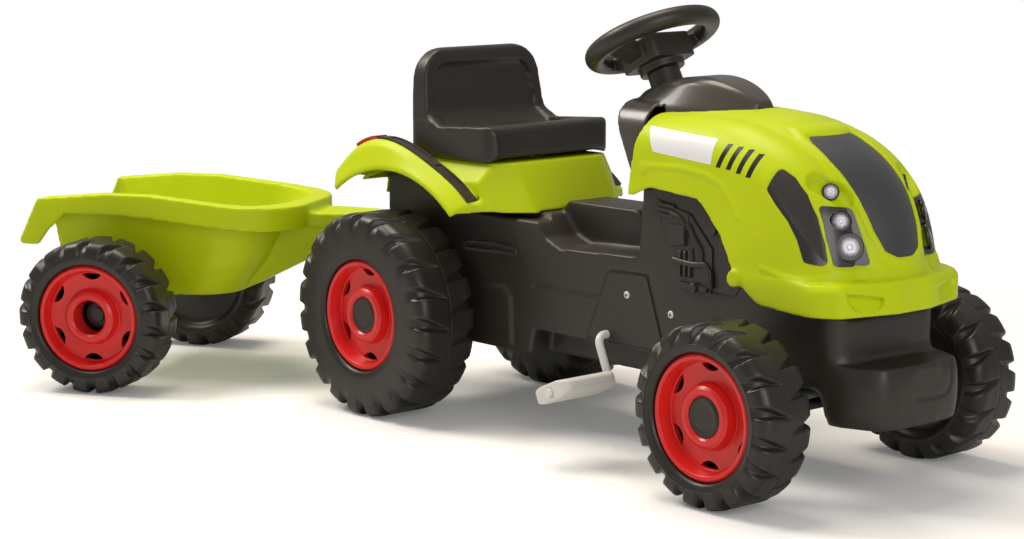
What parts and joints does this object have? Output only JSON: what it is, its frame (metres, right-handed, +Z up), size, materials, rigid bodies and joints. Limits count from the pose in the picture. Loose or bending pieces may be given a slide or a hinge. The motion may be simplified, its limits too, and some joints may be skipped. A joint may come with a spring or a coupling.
{
  "type": "ride-on tractor toy",
  "caption": "Pedal tractor for a small child with chain drive, steered front wheels, sliding seat, opening bonnet and a hitched tipping-tub style trailer on wheels.",
  "frame": {"origin": "On the floor, under the middle of the footprint of the tractor with its trailer as it stands.", "axes": "+X points the way the tractor drives, +Y to the driver's left, +Z up."},
  "size_m": [1.4112, 0.6553, 0.5341],
  "materials": {
    "lime_plastic": "glossy moulded lime plastic",
    "dark_plastic": "satin moulded dark grey plastic",
    "tyre_plastic": "satin black moulded plastic",
    "red_plastic": "glossy red plastic",
    "white_plastic": "off-white moulded plastic",
    "white_steel": "white coated steel",
    "steel": "zinc plated steel",
    "grille_plastic": "smooth dark blue-grey plastic",
    "lens": "clear moulded lens over a bright reflector",
    "red_lens": "red lamp plastic"
  },
  "bodies": {
    "chassis": {"chassis": "dark_plastic", "belly_cover": "dark_plastic", "crank_cover_right": "dark_plastic", "crank_cover_left": "dark_plastic", "engine_panel_right": "dark_plastic", "engine_panel_left": "dark_plastic", "cowl": "dark_plastic", "column_sleeve": "dark_plastic", "rear_deck": "lime_plastic", "fender_trim_right": "dark_plastic", "fender_trim_left": "dark_plastic", "tail_lamps": "red_lens", "front_axle": "steel", "kingpins": "steel", "axle_bushes": "dark_plastic", "drive_chain": "steel", "chassis_screws": "white_steel", "hitch_bracket": "steel", "hitch_pin": "steel", "bonnet_hinge_pin": "steel"},
    "bonnet": {"bonnet": "lime_plastic", "grille": "grille_plastic", "side_vent_right": "grille_plastic", "side_vent_left": "grille_plastic", "lamp_panel_right": "grille_plastic", "lamp_panel_left": "grille_plastic", "headlamp_lenses": "lens"},
    "steering": {"steering_wheel": "dark_plastic", "steering_shaft": "steel"},
    "horn": {"horn_button": "dark_plastic"},
    "tie_rod": {"tie_rod": "steel"},
    "knuckle_right": {"knuckle_right": "steel"},
    "knuckle_left": {"knuckle_left": "steel"},
    "front_wheel_right": {"front_tyre_right": "tyre_plastic", "front_rim_right": "red_plastic", "front_hub_cap_right": "dark_plastic"},
    "front_wheel_left": {"front_tyre_left": "tyre_plastic", "front_rim_left": "red_plastic", "front_hub_cap_left": "dark_plastic"},
    "drive_axle": {"rear_axle": "steel", "rear_sprocket": "steel", "rear_tyre_right": "tyre_plastic", "rear_rim_right": "red_plastic", "rear_hub_cap_right": "dark_plastic"},
    "rear_wheel_left": {"rear_tyre_left": "tyre_plastic", "rear_rim_left": "red_plastic", "rear_hub_cap_left": "dark_plastic"},
    "crank": {"crank": "white_steel", "crank_sprocket": "steel"},
    "pedal_right": {"pedal_right": "white_plastic"},
    "pedal_left": {"pedal_left": "white_plastic"},
    "seat": {"seat": "dark_plastic", "seat_bolts": "steel"},
    "trailer": {"trailer_tub": "lime_plastic", "trailer_axle": "steel"},
    "trailer_wheel_right": {"trailer_tyre_right": "tyre_plastic", "trailer_rim_right": "red_plastic"},
    "trailer_wheel_left": {"trailer_tyre_left": "tyre_plastic", "trailer_rim_left": "red_plastic"}
  },
  "joints": [
    {"name": "bonnet_hinge", "type": "hinge", "parent": "chassis", "child": "bonnet", "pos_m": [0.654, 0.108, 0.224], "axis": [0, 1, 0], "range_deg": [0, 50]},
    {"name": "steering_turn", "type": "hinge", "parent": "chassis", "child": "steering", "pos_m": [0.277, 0.108, 0.489], "axis": [-0.454, 0, 0.891], "range_deg": [-32, 32]},
    {"name": "horn_press", "type": "slide", "parent": "steering", "child": "horn", "axis": [0.454, 0, -0.891], "range_m": [0, 0.003], "stiffness_N_per_m": 400},
    {"name": "tie_rod_slide", "type": "slide", "parent": "chassis", "child": "tie_rod", "axis": [0, 1, 0], "range_m": [-0.013, 0.013]},
    {"name": "knuckle_right_turn", "type": "hinge", "parent": "chassis", "child": "knuckle_right", "pos_m": [0.568, -0.01, 0.112], "axis": [0, 0, 1], "range_deg": [-22, 22]},
    {"name": "knuckle_left_turn", "type": "hinge", "parent": "chassis", "child": "knuckle_left", "pos_m": [0.568, 0.226, 0.112], "axis": [0, 0, 1], "range_deg": [-22, 22]},
    {"name": "front_wheel_right_spin", "type": "hinge", "parent": "knuckle_right", "child": "front_wheel_right", "pos_m": [0.568, -0.0725, 0.103], "axis": [0, 1, 0], "continuous": true},
    {"name": "front_wheel_left_spin", "type": "hinge", "parent": "knuckle_left", "child": "front_wheel_left", "pos_m": [0.568, 0.2885, 0.103], "axis": [0, 1, 0], "continuous": true},
    {"name": "drive_spin", "type": "hinge", "parent": "chassis", "child": "drive_axle", "pos_m": [-0.05, 0.108, 0.131], "axis": [0, 1, 0], "continuous": true, "deforming": ["drive_chain"]},
    {"name": "rear_wheel_left_spin", "type": "hinge", "parent": "chassis", "child": "rear_wheel_left", "pos_m": [-0.05, 0.262, 0.131], "axis": [0, 1, 0], "continuous": true},
    {"name": "crank_spin", "type": "hinge", "parent": "chassis", "child": "crank", "pos_m": [0.294, 0.108, 0.142], "axis": [0, 1, 0], "continuous": true},
    {"name": "pedal_right_spin", "type": "hinge", "parent": "crank", "child": "pedal_right", "pos_m": [0.31608, -0.053, 0.08999], "axis": [0, 1, 0], "continuous": true},
    {"name": "pedal_left_spin", "type": "hinge", "parent": "crank", "child": "pedal_left", "pos_m": [0.27192, 0.269, 0.19401], "axis": [0, 1, 0], "continuous": true},
    {"name": "seat_slide", "type": "slide", "parent": "chassis", "child": "seat", "axis": [1, 0, 0], "range_m": [-0.024, 0.024]},
    {"name": "trailer_yaw", "type": "hinge", "parent": "chassis", "child": "trailer", "pos_m": [-0.183, 0.108, 0.223], "axis": [0, 0, 1], "range_deg": [-77, 13]},
    {"name": "trailer_wheel_right_spin", "type": "hinge", "parent": "trailer", "child": "trailer_wheel_right", "pos_m": [-0.4156, -0.24724, 0.103], "axis": [-0.5299, 0.848, 0], "continuous": true},
    {"name": "trailer_wheel_left_spin", "type": "hinge", "parent": "trailer", "child": "trailer_wheel_left", "pos_m": [-0.60425, 0.05467, 0.103], "axis": [-0.5299, 0.848, 0], "continuous": true}
  ],
  "couplings": [
    {"joint": "tie_rod_slide", "follows": "steering_turn", "m_per_rad": 0.022772},
    {"joint": "knuckle_right_turn", "follows": "steering_turn", "ratio": 0.66586},
    {"joint": "knuckle_left_turn", "follows": "steering_turn", "ratio": 0.66586},
    {"joint": "crank_spin", "follows": "drive_spin", "ratio": 0.66667}
  ]
}
